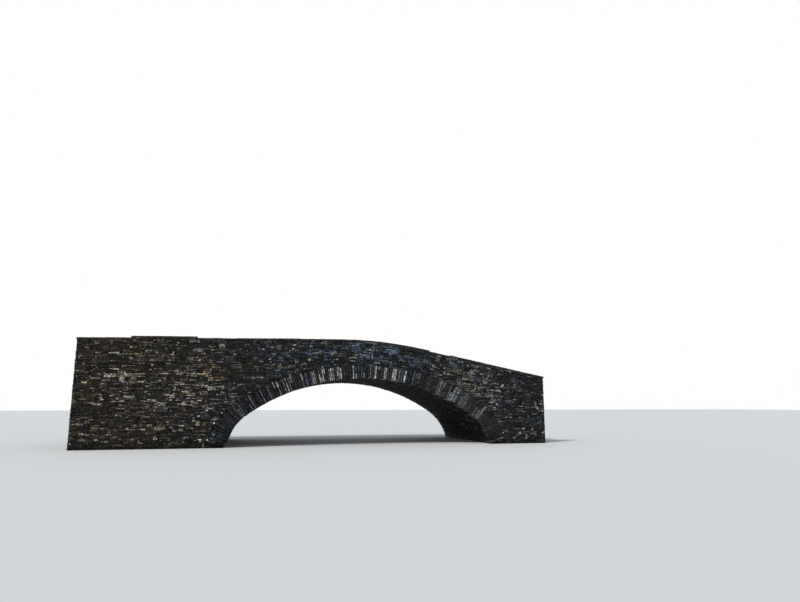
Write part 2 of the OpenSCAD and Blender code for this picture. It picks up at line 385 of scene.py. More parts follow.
# Courses of rubble on a rectangle: beds at random heights, each course cut into cells, each cell
# into a few flat stones by its height, and some of those broken once more
def layCourses(rng, along, up, values):
    span, rise = along[1] - along[0], up[1] - up[0]
    beds = up[0] + np.cumsum(rng.uniform(*values["course"], size=int(rise / values["course"][0]) + 2))
    beds = joined([[up[0]], beds[beds < up[1] - values["course"][0]], [up[1]]])
    rows = len(beds) - 1
    columns = int(span / values["length"][0]) + 4
    steps = rng.uniform(*values["length"], size=(rows, columns))
    cuts = along[0] + np.cumsum(steps, axis=1) - rng.uniform(0, values["length"][1], (rows, 1))
    cuts = np.pad(np.clip(cuts, *along), ((0, 0), (1, 1)), constant_values=((0, 0), along))
    start, end = cuts[:, :-1], cuts[:, 1:]
    course = np.broadcast_to(np.arange(rows)[:, None], start.shape)
    real = end - start > values["short"]
    start, end, course = start[real], end[real], course[real]
    thickness = rng.uniform(*values["slate"], len(start))
    parts = np.round((beds[course + 1] - beds[course]) / thickness).astype(int)
    parts = np.clip(parts, 1, coursing["most"])
    parts[rng.random(len(parts)) < values["blocks"]] = 1
    shares = np.clip(np.arange(coursing["most"] + 1) / parts[:, None], 0, 1)
    shift = rng.uniform(-coursing["uneven"], coursing["uneven"], shares.shape)
    shares += ((shares > 0) & (shares < 1)) * shift / parts[:, None]
    cell = np.repeat(np.arange(len(start)), parts)
    part = np.arange(len(cell)) - np.repeat(np.cumsum(parts) - parts, parts)
    stones = {"start": start[cell], "end": end[cell], "course": course[cell]}
    stones.update(low=shares[cell, part], high=shares[cell, part + 1])
    length = stones["end"] - stones["start"]
    broken = (rng.random(len(length)) < values["broken"]) & (length > 3 * values["short"])
    cut = stones["start"] + length * rng.uniform(*coursing["breakAt"], len(length))
    second = {key: part[broken] for key, part in stones.items()}
    second["start"] = cut[broken]
    stones["end"] = np.where(broken, cut, stones["end"])
    stones = {key: joined([stones[key], second[key]]) for key in stones}
    sway = rng.uniform(*coursing["waves"], size=(len(beds), 6))
    sway[:, [0, 3]] *= values["sway"]
    sway[[0, -1]] *= 0
    return {"beds": beds, "sway": sway, "stones": stones}


# Height of a bed at places along it: its level plus two slow sine waves
def bedLine(layout, bed, s):
    a, b, c, d, e, f = layout["sway"][bed].T[:, :, None]
    return layout["beds"][bed][:, None] + a * np.sin(b * s + c) + d * np.sin(e * s + f)


# Cuts stones off where floor or roof leaves them too thin, by trying places along each, and notes the
# share of its length at which a stone's height bends most
def trimStones(stones, edgesAt, values):
    tries = coursing["tries"]
    start, end = stones["start"] + values["joint"] / 2, stones["end"] - values["joint"] / 2
    s = start[:, None] + (end - start)[:, None] * tries
    lower, upper = edgesAt(stones, s)
    fits = upper - lower > values["thin"]
    each = np.arange(len(s))
    first, last = np.argmax(fits, axis=1), len(tries) - 1 - np.argmax(fits[:, ::-1], axis=1)
    trimmed = dict(stones, start=s[each, first], end=s[each, last])
    real = fits.any(axis=1) & (trimmed["end"] - trimmed["start"] > values["short"])
    trimmed = {key: part[real] for key, part in trimmed.items()}
    s = trimmed["start"][:, None] + (trimmed["end"] - trimmed["start"])[:, None] * tries
    lower, upper = edgesAt(trimmed, s)
    bend = np.abs(np.diff(upper - lower, n=2, axis=1))
    trimmed["kink"] = np.where(bend.max(axis=1) > coursing["kink"], tries[np.argmax(bend, axis=1) + 1], 0.5)
    return trimmed


# Faces of closed solids lofted through sections of equal numbers of points: one solid's faces for
# every copy, with the indices moved on by its number of points
def loftFaces(copies, sections, around, flipped=False):
    grid = np.arange(sections * around).reshape(sections, around)
    turned = np.roll(grid, -1, axis=1)
    walls = np.stack([grid[:-1], turned[:-1], turned[1:], grid[1:]], axis=-1).reshape(-1, 4)
    caps = np.stack([grid[0][::-1], grid[-1]])
    moved = sections * around * np.arange(copies)[:, None, None]
    order = -1 if flipped else 1
    return [(group + moved).reshape(-1, group.shape[1])[:, ::order] for group in (walls, caps)]


# True if along, up and out make a left-handed set where a surface's place function puts them
def isMirrored(place, s, t):
    step = 1e-3
    points = place(*np.array([[s, t, 0.0], [s + step, t, 0.0], [s, t + step, 0.0], [s, t, step]]).T)
    return np.linalg.det(points[1:] - points[0]) < 0


# Ten points round a stone with cut corners. Each row is: share along and up, how far the corner's
# cut moves the point along and up, and the way inwards along and up
stoneOutline = np.array([
    (0, 0, 1, 0, 0.7, 1), (0.5, 0, 0, 0, 0, 1), (1, 0, -1, 0, -0.7, 1),
    (1, 0, 0, 1, -1, 0.5), (1, 1, 0, -1, -1, -0.5), (1, 1, -1, 0, -0.7, -1),
    (0.5, 1, 0, 0, 0, -1), (0, 1, 1, 0, 0.7, -1), (0, 1, 0, -1, 1, -0.5), (0, 0, 0, 1, 1, 0.5),
])
stoneCorner = np.array([0, 1, 1, 1, 2, 2, 3, 3, 3, 0])
# What every kind of stone shares: the leasts in metres, the others as shares or powers
stoneForm = {
    "leastSize": 0.01, "leastThickness": 0.006, "leastFace": 0.004, "leastRim": 0.001,
    "corner": (0.03, 0.5), "cornerPowers": (1.0, 2.5), "cornerChances": (0.35, 0.65),
    "slant": 0.45, "slanted": 0.6, "kink": (0.3, 0.7), "inset": 0.28, "rim": (0.5, 1.1),
    "wear": [[0], [1], [0.25]],
}


# Stones as three loops of ten points: sunk root, arris and inset face. A loop follows the stone's
# edges, with ends slanted and corners cut at random. The face is a tilted plane with slight relief,
# and its tint is lighter the further it stands out: painted light on proud stones, painted shade on
# sunk ones
def shapeStones(rng, stones, edgesAt, place, values):
    form, count = stoneForm, len(stones["start"])
    along, high, cutAlong, cutUp, inAlong, inUp = stoneOutline.T
    length = (stones["end"] - stones["start"])[:, None]
    middle = (stones["start"] + stones["end"])[:, None] / 2
    lower, upper = edgesAt(stones, middle)
    size = np.minimum(np.clip(upper - lower, form["leastSize"], values["blunt"]), 0.3 * length)
    cuts = rng.uniform(*form["corner"], (count, 4))
    cuts = size * cuts ** rng.choice(form["cornerPowers"], p=form["cornerChances"], size=(count, 4))
    slant = rng.uniform(0, form["slant"], (count, 2)) * size * (rng.random((count, 2)) < form["slanted"])
    leans = rng.random((count, 2)) < 0.5
    share = np.where(along == 0.5, np.clip(stones["kink"], *form["kink"])[:, None], along)
    s = stones["start"][:, None] + length * share + cutAlong * cuts[:, stoneCorner]
    s = s + slant[:, :1] * (along == 0) * (high == leans[:, :1])
    s = s - slant[:, 1:] * (along == 1) * (high == leans[:, 1:])
    lower, upper = edgesAt(stones, s)
    upper = np.maximum(upper, lower + form["leastThickness"])
    thickness = upper - lower
    pinch = rng.uniform(0, values["pinch"], s.shape) * np.minimum(thickness, 0.1)
    t = lower + thickness * high + pinch * np.sign(0.5 - high)
    t = t + cutUp * np.minimum(cuts[:, stoneCorner] * 0.7, thickness * 0.35)
    s = s + rng.uniform(0, values["ragged"], s.shape) * np.sign(0.5 - along)
    inset = np.minimum(rng.uniform(*values["chamfer"], s.shape), form["inset"] * size)
    centre = (lower + upper).mean(axis=1, keepdims=True) / 2
    plane = (s - middle) / length * 2 * rng.uniform(-1, 1, (count, 1))
    plane = plane + (t - centre) / np.maximum(size, 0.02) * 2 * rng.uniform(-0.4, 1, (count, 1))
    stand = rng.uniform(*values["stand"], (count, 1))
    face = stand + np.clip(plane, -1.5, 1.5) * values["tilt"] + rng.uniform(-1, 1, s.shape) * values["rough"]
    face = np.clip(face, form["leastFace"], values["most"])
    rim = np.maximum(face - inset * rng.uniform(*form["rim"], s.shape), form["leastRim"])
    loops = np.array([
        (s, t, np.full(s.shape, -values["root"])), (s, t, rim),
        (s + inAlong * inset, t + inUp * np.minimum(inset, 0.3 * thickness), face),
    ])
    every = loops.transpose(2, 0, 3, 1).reshape(count, -1, 3)
    points = place(*np.moveaxis(every, -1, 0))
    faces = loftFaces(count, 3, len(along), isMirrored(place, np.median(s), np.median(t)))
    # Painted light and shade: stones that stand further out get a lighter tint, sunk ones a darker one
    proud = (stand - values["stand"][0]) / (values["stand"][1] - values["stand"][0])
    tints = tintPoints(stones["tint"] * (0.72 + 0.5 * proud), 3, len(along), form["wear"])
    return points, faces, tints, ownGrain(rng, every)


# Tints: a cool or a warm colour by a warmth that changes along the road and in waves, and a
# brightness, exp of a normal draw. The lean makes stones browner at the left and bluer over the
# crown, by tanh((s + 5) / 3): partly earthy staining, partly a painted colour cast of sky light and of
# light from grass. A patch has a middle, a reach, a share of stones, which falls as exp of minus the
# squared distance over the reach, and a colour. Here and there a small stone is pale, a painted
# highlight as if the sun caught it
def tintStones(rng, s, t, values, small=0.0):
    warmth = values["warmth"][0] + values["warmth"][1] * s + 0.12 * np.sin(1.3 * s + 2.1 * t)
    cool, warm = (np.array([colour(*tone) for tone in values[key]]) for key in ("cool", "warm"))
    picks = rng.integers(0, len(cool), len(s)), rng.integers(0, len(warm), len(s))
    isWarm = rng.random(len(s)) < np.clip(warmth, 0.05, 0.95)
    tint = np.where(isWarm[:, None], warm[picks[1]], cool[picks[0]])
    lighter = np.clip(rng.normal(0, values["spread"], len(s)), -1.9, 1.15 + 0.5 * small)
    tint = values["bright"] * tint * np.exp(lighter)[:, None]
    # Partly a painted colour cast, bluer sky light over the crown and browner light from grass at the left,
    # partly earthy staining
    lean = values["lean"] * (np.tanh((s + 5) / 3) - np.clip((s - 2.5) / 2, 0, 1))
    tint = tint * (1 + lean[:, None] * np.array([-1, 0, 1]))
    for at, reach, share, tone, *onlySmall in values["patches"]:
        away = ((s - at[0]) / reach[0]) ** 2 + ((t - at[1]) / reach[1]) ** 2
        chosen = rng.random(len(s)) < share * np.exp(-away) * (small if onlySmall else 1)
        tint[chosen] = colour(*tone) * rng.uniform(0.5, 1.2, (len(s), 1))[chosen]
    # Painted highlights: small stones picked to be pale, as if the sun caught them
    pale = rng.random(len(s)) < values["highlightShare"] * small
    tint[pale] = colour(*values["highlightColour"]) * rng.uniform(0.6, 1.3, (len(s), 1))[pale]
    return tint


# Rubble on one surface: courses laid, trimmed, tinted and shaped. A stone's lower and upper edges are
# shares of the way from its bed to the next, less half a joint, and held between floor and roof
def rubble(name, seed, along, up, place, values, slot, material=wallSlate,
           floorAt=lambda s: -np.inf, roofAt=lambda s: np.inf):
    rng = np.random.default_rng(seed)
    layout = layCourses(rng, along, up, values)

    def edgesAt(stones, s):
        low, high = bedLine(layout, stones["course"], s), bedLine(layout, stones["course"] + 1, s)
        lower, upper = (low + (high - low) * stones[edge][:, None] for edge in ("low", "high"))
        lower = np.maximum(lower + values["joint"] / 2, floorAt(s) + values["joint"])
        return lower, np.minimum(upper - values["joint"] / 2, roofAt(s) - values["joint"])

    stones = trimStones(layout["stones"], edgesAt, values)
    middle = (stones["start"] + stones["end"]) / 2
    # How small each stone is, which gives it its chance of a painted highlight
    small = np.clip(values["highlightLength"] / (stones["end"] - stones["start"]), 0, 1) ** 3
    stones["tint"] = tintStones(rng, middle, layout["beds"][stones["course"]], values, small)
    makePiece(name, material, slot, *shapeStones(rng, stones, edgesAt, place, values))


# Voussoirs of one face: plates between random joints round the arch, thin and thick, some in two
# lengths, with uneven heads and feet. Their patches lie outwards from the soffit and round it
voussoirs = {
    "count": 146, "uneven": 0.6, "joint": 0.028, "thinPlates": 0.45, "splitOver": 0.09,
    "splitAt": (0.35, 0.65), "twoLong": 0.3, "secondAt": (0.35, 0.75), "heads": (0.9, 1.04),
    "drop": (0.000, 0.014), "blunt": 0.09, "pinch": 0.16, "ragged": 0.012, "chamfer": (0.003, 0.01),
    "stand": (0.004, 0.03), "tilt": 0.004, "rough": 0.0015, "most": 0.036, "root": 0.59,
    "cool": [(49, 58, 72), (65, 74, 88), (37, 43, 54), (83, 90, 100), (57, 62, 70), (29, 33, 41)],
    "warm": [(66, 60, 52), (86, 80, 70), (48, 44, 38), (108, 102, 94)],
    "warmth": (0.22, 0.0), "lean": 0.0, "spread": 0.95, "bright": 0.28,
    "highlightShare": 0.2, "highlightWidth": 0.065, "highlightReach": 6.3, "highlightColour": (146, 144, 140),
    "patches": [
        ((0.3, -4.8), (0.8, 1.3), 0.65, (28, 33, 42)),
        ((0.4, -4.2), (0.7, 1.5), 0.15, (86, 94, 106)),
        # Two patches of pale small plates near the crown: painted highlights of plates caught by the sun
        ((0.15, -1.2), (0.35, 0.8), 1.2, (192, 192, 191), "onlySmall"),
        ((0.2, 0.9), (0.4, 1.0), 0.75, (168, 167, 165), "onlySmall"),
        ((0.3, 4.7), (0.6, 0.8), 0.9, (112, 114, 115)),
    ],
}
ringMortar = {"sections": 97, "lift": 0.012, "recess": 0.07}
ringStretches = ("left_springer", "left_haunch", "crown", "right_haunch", "right_springer")


# One face of the ring, with lengths outwards from the soffit and lengths round it from the crown
def faceOfRing(side):
    def place(s, t, out):
        x, z = archPoint(archAngle(t), s)
        return framePoints(x, side * (faceY + out), np.maximum(z, 0.0))
    return place


# Plates of one ring: random widths scaled to the whole arc, some split in two by width or length.
# First and last are arcs round the soffit, start and end are lengths outwards from it
def layRing(rng, values):
    widths = rng.uniform(1 - values["uneven"], 1 + values["uneven"], values["count"])
    cuts = joined([[0], np.cumsum(widths)]) / widths.sum() * 2 * ringArc - ringArc
    first, last = cuts[:-1], cuts[1:]
    thinner = (rng.random(len(first)) < values["thinPlates"]) & (last - first > values["splitOver"])
    cut = first + (last - first) * rng.uniform(*values["splitAt"], len(first))
    first = joined([first, cut[thinner]])
    last = joined([np.where(thinner, cut, last), last[thinner]])
    head = ringDepth(archAngle((first + last) / 2)) * rng.uniform(*values["heads"], len(first))
    two = rng.random(len(first)) < values["twoLong"]
    cut = head * rng.uniform(*values["secondAt"], len(first))
    foot = -rng.uniform(*values["drop"], len(first))
    gap = values["joint"] / 2
    return {
        "first": joined([first, first[two]]) + gap,
        "last": joined([last, last[two]]) - gap,
        "start": joined([foot, cut[two] + gap]),
        "end": joined([np.where(two, cut - gap, head), head[two]]),
        "kink": np.full(len(first) + two.sum(), 0.5),
    }


# A plate's two sides keep the same arcs all the way out
def ringEdges(ring, s):
    return tuple(np.broadcast_to(ring[key][:, None], s.shape) for key in ("first", "last"))


# Top of a ring over each place along the road: the greatest height of the plates' heads and sides
# there, on a grid one centimetre apart
def headLine(ring):
    gap, reach = 0.012, 7.3
    first, last = ring["first"] - gap, ring["last"] + gap
    out = np.stack([ring["start"], ring["end"], ring["end"], ring["start"]])
    x, z = archPoint(archAngle(np.stack([first, first, last, last])), out)
    x0, z0, x1, z1 = x[:-1].ravel(), z[:-1].ravel(), x[1:].ravel(), z[1:].ravel()
    grid = np.linspace(-reach, reach, 1461)[:, None]
    share = (grid - x0) / np.where(np.abs(x1 - x0) < 1e-6, 1e-6, x1 - x0)
    heights = np.where((share >= 0) & (share <= 1), z0 + (z1 - z0) * share, noRing)
    return grid[:, 0], heights.max(axis=1)


# The mortar bed of one ring: a four-sided section carried round the arch
def ringBed(name, side, values):
    angle = np.linspace(-outerFoot, outerFoot, values["sections"])[:, None]
    lift, back = np.full_like(angle, values["lift"]), ringDepth(angle)
    deep = np.array([values["recess"], values["recess"], bridge["wall"], bridge["wall"]])
    x, z = archPoint(angle, joined([lift, back, back, lift], axis=1))
    points = framePoints(x, side * (faceY - deep), np.maximum(z, 0))
    makePiece(name, mortar, "slate_voussoirs", points, loftFaces(1, len(angle), len(deep), side < 0))


noRing = -1.0  # a height for places that no ring covers
ringHeads = {}
for sideName, side in sides.items():
    rng = np.random.default_rng(seeds[f"{sideName}Ring"])
    ring = layRing(rng, voussoirs)
    ringHeads[side] = headLine(ring)
    # Narrow plates, fewer of them far from the crown, may get a painted highlight
    small = np.clip(voussoirs["highlightWidth"] / (ring["last"] - ring["first"]), 0, 1) ** 3
    small = small * np.exp(-(ring["first"] / voussoirs["highlightReach"]) ** 4)
    ring["tint"] = tintStones(rng, (ring["start"] + ring["end"]) / 2, ring["first"], voussoirs, small)
    piece = makePiece(f"{sideName}_ring_slates", ringSlate, "slate_voussoirs",
                      *shapeStones(rng, ring, ringEdges, faceOfRing(side), voussoirs))
    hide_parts(*[f"{sideName}_ring_{stretch}" for stretch in ringStretches])
    ringBed(f"{sideName}_ring_bed", side, ringMortar)
print("rings built")


# How far courses are stretched upwards: west of the crest they follow the road's slight rise
def courseLift(s):
    return 1 + roadLine["approach"] * np.minimum(s - roadLine["crestStart"], 0) / wallTop


# The face of a wall: along the road, and up as the courses go
def faceOfWall(side):
    return lambda s, t, out: framePoints(s, side * (faceY + out), t * courseLift(s))


# A parapet's face at a distance from the middle, with heights from the road
def faceOfParapet(side, distance, outwards):
    return lambda s, t, out: framePoints(s, side * (distance + outwards * out), roadHeight(s) + t)


# The soffit, with places across the bridge and lengths round the arch from the crown
def faceOfVault(s, t, out):
    x, z = archPoint(archAngle(t), -out)
    return framePoints(x, s, np.maximum(z, 0.002))


# One end, with places across the bridge and heights above the water
def faceOfEnd(x, outwards):
    return lambda s, t, out: framePoints(x + outwards * out, s, t)


# Where wall and parapet meet, as a height from the road: two waves about the surfacing's underside
def seam(s):
    return 0.022 * np.sin(1.1 * s + 0.5) + 0.016 * np.sin(2.7 * s + 1.9) - bridge["surfacing"]


# A wall's roof is the seam and its floor the ring's heads, both as the courses go
def underParapet(s):
    return (roadHeight(s) + seam(s)) / courseLift(s)


def overRing(side):
    return lambda s: np.interp(s, *ringHeads[side], left=noRing, right=noRing) / courseLift(s)


# A parapet's roof is the coping's underside, which steps up at the near side's raised patch
def parapetTop(side):
    def roofAt(s):
        isRaised = (s > raisedPatch["from"]) & (s < raisedPatch["to"]) & (side < 0)
        return parapetBase + np.where(isRaised, raisedPatch["step"], 0)
    return roofAt


wallStones = {
    "course": (0.12, 0.24), "length": (0.15, 0.5), "slate": (0.04, 0.085), "blocks": 0.025,
    "broken": 0.42, "short": 0.045, "thin": 0.014, "joint": 0.01, "sway": 0.02,
    "blunt": 0.12, "pinch": 0.13, "ragged": 0.006, "chamfer": (0.003, 0.011),
    "stand": (0.006, 0.03), "tilt": 0.005, "rough": 0.0015, "most": 0.037, "root": 0.04,
    "cool": [
        (42, 48, 57), (56, 63, 73), (32, 36, 43), (74, 80, 89), (49, 53, 59), (92, 97, 102), (24, 26, 31)],
    "warm": [
        (58, 54, 47), (72, 66, 56), (45, 42, 36), (54, 54, 44), (96, 88, 76), (34, 31, 27), (66, 61, 54)],
    "warmth": (-0.12, -0.095), "lean": 0.2, "spread": 1.05, "bright": 0.57,
    "highlightShare": 0.38, "highlightLength": 0.11, "highlightColour": (148, 143, 134),
    "patches": [
        ((-0.3, 3.6), (0.5, 0.15), 0.5, (146, 136, 120)),
        ((-3.0, 3.5), (0.9, 0.16), 0.6, (126, 116, 96)),
        ((4.5, 2.85), (0.3, 0.2), 0.6, (118, 98, 74)),
        ((-6.8, 3.15), (0.6, 0.22), 0.6, (122, 102, 74)),
        ((-6.4, 3.45), (0.4, 0.2), 0.4, (124, 112, 88)),
        ((-7.4, 2.4), (0.9, 0.25), 0.35, (158, 149, 138)),
        ((-9.0, 1.95), (2.2, 0.16), 0.24, (162, 154, 144)),
        ((-10.4, 3.0), (0.7, 0.3), 0.35, (162, 152, 138)),
        ((-9.5, 2.5), (2.2, 0.7), 0.12, (154, 143, 127)),
        ((-8.0, 2.8), (1.0, 0.4), 0.28, (144, 132, 114)),
        ((4.9, 2.5), (1.4, 0.8), 0.75, (126, 121, 112)),
        ((4.2, 3.5), (1.0, 0.4), 0.3, (96, 98, 102)),
        ((0.9, 3.6), (1.4, 0.3), 0.35, (90, 98, 112)),
    ],
}
parapetStones = dict(wallStones, patches=[
    ((-1.5, 0.65), (0.3, 0.25), 0.4, (146, 136, 126)),
    ((-1.0, 0.15), (0.4, 0.25), 0.45, (148, 136, 126)),
    ((-0.3, -0.05), (0.5, 0.12), 0.55, (146, 138, 130)),
    ((2.4, 0.1), (0.8, 0.3), 0.12, (124, 132, 142)),
    ((0.9, 0.55), (1.7, 0.45), 0.65, (92, 102, 118)),
    ((4.8, 0.05), (1.4, 0.35), 0.58, (122, 117, 108)),
    ((4.2, 0.55), (1.2, 0.35), 0.2, (100, 102, 106)),
    ((3.6, 0.88), (0.8, 0.07), 0.7, (150, 142, 128)),
    ((-6.6, 0.35), (0.4, 0.25), 0.35, (128, 120, 104)),
    ((-10.5, 0.1), (1.2, 0.5), 0.14, (124, 118, 108)),
])
insideStones = dict(
    wallStones, course=(0.14, 0.28), slate=(0.045, 0.1), length=(0.18, 0.55), broken=0.25, patches=[])
endStones = dict(
    wallStones, length=(0.16, 0.42), patches=[], stand=(0.008, 0.028), lean=0.0, highlightShare=0.2)
fillStones = dict(
    wallStones, length=(0.1, 0.5), course=(0.1, 0.3), slate=(0.05, 0.2), joint=0.022, thin=0.03,
    ragged=0.02, pinch=0.35, sway=0.04, stand=(0.002, 0.034), chamfer=(0.006, 0.022), blunt=0.2,
    patches=[], warmth=(0.7, 0), tilt=0.01, lean=0.0,
)
vaultStones = dict(
    wallStones, course=(0.07, 0.16), slate=(0.05, 0.12), length=(0.25, 0.75), broken=0.1, blocks=0.1,
    stand=(0.002, 0.018), tilt=0.003, most=0.022, sway=0.004,
    # Pale stones on the vault's right haunch: painted highlights of lit arrises in the arch's shade
    patches=[((-1.2, 6.0), (2.2, 0.7), 0.3, (98, 98, 92))],
    cool=[(28, 30, 33), (36, 38, 41), (44, 46, 48), (22, 23, 25)],
    warm=[(38, 34, 29), (46, 42, 36), (30, 27, 24)],
    warmth=(0.35, 0), bright=0.45, highlightShare=0.04, lean=0.0,
)
# Heights between which courses are laid, from the water or the road, before floor and roof cut them
rises = {"wall": (0.0, wallTop + 0.04), "outer": (-0.16, 1.03), "inner": (0.0, 1.03)}

for sideName, side in sides.items():
    seed = seeds[f"{sideName}Walls"]
    rubble(f"{sideName}_wall_rubble", seed, ends, rises["wall"], faceOfWall(side), wallStones,
           "wall_rubble", floorAt=overRing(side), roofAt=underParapet)
    rubble(f"{sideName}_parapet_outer_rubble", seed + 1, ends, rises["outer"], faceOfParapet(side, faceY, 1),
           parapetStones, "parapet_rubble", floorAt=seam, roofAt=parapetTop(side))
    rubble(f"{sideName}_parapet_inner_rubble", seed + 2, ends, rises["inner"],
           faceOfParapet(side, roadHalf, -1), insideStones, "parapet_rubble", roofAt=parapetTop(side))
vaultHalf = 2.88
rubble("vault_slates", seeds["vault"], (-vaultHalf, vaultHalf), (-halfArc, halfArc), faceOfVault, vaultStones,
       "vault_slates", vaultSlate)

inner = faceY - bridge["wall"]
for endName, x, outwards in (("left", ends[0], -1), ("right", ends[1], 1)):
    top = float(roadHeight(x))
    place = faceOfEnd(x, outwards)
    seed = seeds[f"{endName}End"]
    below = (0.0, top - bridge["surfacing"])
    above = (below[1], top + bridge["parapetHeight"] - bridge["coping"])
    rubble(f"{endName}_end_fill", seed, (-inner, inner), below, place, fillStones, "rubble_fill")
    for sideName, side in sides.items():
        for part, step, reach, up in (("wall", 1, inner, below), ("parapet", 5, roadHalf, above)):
            rubble(f"{endName}_end_{sideName}_{part}_rubble", seed + step + side,
                   sorted((side * reach, side * faceY)), up, place, endStones, f"{part}_rubble")
print("rubble laid")

# Coping slabs, rough on top and broken on both long edges, some in two leaves. Over the start of the
# near ramp only thin lower leaves are left
copingSlabs = {
    "length": (0.38, 1.1), "gap": 0.01, "sink": 0.004, "droop": 0.014, "inset": 0.03,
    "twoLeaves": 0.45, "leafAt": (0.42, 0.58), "leafInset": 0.018,
    "worn": (3.12, 3.58, 4.15), "wornLeaf": (0.012, 0.024),
    "sections": 9, "skew": 0.012, "ragged": 0.007, "fine": 0.004, "chips": 0.12, "chipDepth": 2.2,
    "cool": [(48, 50, 54), (60, 62, 66), (40, 42, 46), (74, 76, 78)],
    "warm": [(56, 52, 43), (68, 62, 50), (46, 42, 34), (56, 56, 40)],
    "warmth": (0.5, -0.02), "lean": 0.0, "spread": 0.3, "bright": 0.8,
    "highlightShare": 0.0, "highlightColour": (138, 133, 124), "patches": [],
}
slabSection = np.array([
    (-1, -0.5), (-0.97, -1), (-0.4, -1), (0.4, -1), (0.97, -1), (1, -0.5), (0.99, 0.5),
    (0.95, 1), (0.6, 1), (0.2, 1), (-0.2, 1), (-0.6, 1), (-0.95, 1), (-0.99, 0.5),
])


# Slabs of one side: random lengths scaled to fit between the breaks, and a section carried along
# each, stretched between its edges, bottom and top, less random chips at its rim
def copingPiece(sideName, side, values, stretches):
    rng = np.random.default_rng(seeds[f"{sideName}Coping"])
    low, high = ends[0] - bridge["overhang"], ends[1] + bridge["overhang"]
    breaks = [low, high] if side > 0 else [low, raisedPatch["from"], raisedPatch["to"], *values["worn"], high]
    cuts = []
    for first, last in zip(breaks[:-1], breaks[1:]):
        widths = rng.uniform(*values["length"], max(int((last - first) / np.mean(values["length"])), 1))
        cuts.append(first + joined([[0], np.cumsum(widths)[:-1]]) / widths.sum() * (last - first))
    cuts = np.append(joined(cuts), high)
    start, end = cuts[:-1], cuts[1:]
    number = len(start)
    step = parapetTop(side)((start + end) / 2) - parapetBase
    bottom, top = step - values["sink"], step + bridge["coping"] - rng.uniform(0, values["droop"], number)
    outer = faceY + bridge["overhang"] - rng.uniform(0, values["inset"], number)
    within = roadHalf - bridge["overhang"] + rng.uniform(0, values["inset"], number)
    near = 0.01
    isWorn = (side < 0) & (start > values["worn"][0] - near) & (end < values["worn"][-1] + near)
    top = np.where(isWorn, bottom + rng.uniform(*values["wornLeaf"], number), top)
    two = (rng.random(number) < values["twoLeaves"]) & ~isWorn
    leaf = bottom + (top - bottom) * rng.uniform(*values["leafAt"], number)
    start, end, bottom = joined([start, start[two]]), joined([end, end[two]]), joined([bottom, leaf[two]])
    top = joined([np.where(two, leaf, top), top[two]])
    outer = joined([outer, outer[two] - rng.uniform(0, values["leafInset"], two.sum())])
    within = joined([within, within[two] + rng.uniform(0, values["leafInset"], two.sum())])
    tint = tintStones(rng, (start + end) / 2, top, values)
    start, end, bottom, top, outer, within = (
        part[:, None, None] for part in (start, end, bottom, top, outer, within))
    y, z = slabSection.T
    rim = 0.9  # points beyond this share of the section lie on its rim
    shape = (len(tint), values["sections"], len(slabSection))
    share = np.linspace(0, 1, values["sections"])[:, None]
    x = start + values["gap"] / 2 + (end - start - values["gap"]) * share
    x = x + rng.uniform(-1, 1, (len(tint), 1, 1)) * values["skew"] * y
    x = np.clip(x + rng.uniform(-0.4, 0.4, shape) * values["ragged"], low, high)
    chip = np.abs(rng.normal(0, 1, (*shape[:2], 1))) * values["ragged"]
    chip = chip + values["chipDepth"] * values["ragged"] * (rng.random((*shape[:2], 1)) < values["chips"])
    across = (outer + within) / 2 + (outer - within) / 2 * y
    across = across - (chip + rng.uniform(0, values["fine"], shape)) * np.sign(y) * (np.abs(y) > rim)
    up = parapetBase + bottom + (top - bottom) * (z + 1) / 2
    up = up - np.abs(rng.normal(0, 0.45, shape)) * values["ragged"] * (z > rim)
    points = framePoints(x, side * across, roadHeight(x) + up)
    # Rim points get the pale arris, mostly a painted highlight along the slabs' edges
    tints = tintPoints(tint, *shape[1:], (np.abs(slabSection) > rim).all(axis=1))
    grains = ownGrain(rng, points[..., [0, 2, 1]])
    piece = makePiece(f"{sideName}_coping_slabs", copingSlate, "slate_coping", points,
                      loftFaces(*shape, side < 0), tints, grains)
    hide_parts(*[f"{sideName}_coping_{stretch}" for stretch in stretches])


copingPiece("near", -1, copingSlabs, ("end", "raised", "centre", "ramp"))
copingPiece("far", 1, copingSlabs, ("end", "centre", "ramp"))
print("coping set")

# The worn road and the loose stones on it
road = {
    "cell": 0.085, "lift": 0.02, "least": 0.003, "camber": 0.03, "wave": 0.004, "ripple": 0.003,
    "track": 0.018, "trackAt": 0.85, "trackWidth": 0.28, "bank": 0.035, "bankWidth": 0.16,
    "stones": 1100, "stoneSize": (0.01, 0.03), "stoneMargin": 0.1, "crowding": 2.2,
}


# Height of the worn road over the CAD road: a slight camber, less two wheel tracks, plus waves, and
# a bank of grit against each parapet
def roadRise(s, t, values):
    wave = values["wave"] * np.sin(1.7 * s + 0.6 * np.sin(0.9 * t)) * np.cos(1.1 * t + 0.4 * s)
    tracks = np.exp(-((np.abs(t) - values["trackAt"]) / values["trackWidth"]) ** 2)
    bank = np.exp(-((roadHalf - np.abs(t)) / values["bankWidth"]) ** 2)
    bank = bank * (1 + 0.5 * np.sin(2.3 * s + np.sign(t)))
    rise = values["lift"] + values["camber"] * (1 - (t / roadHalf) ** 2) - values["track"] * tracks
    return rise + wave + values["bank"] * bank


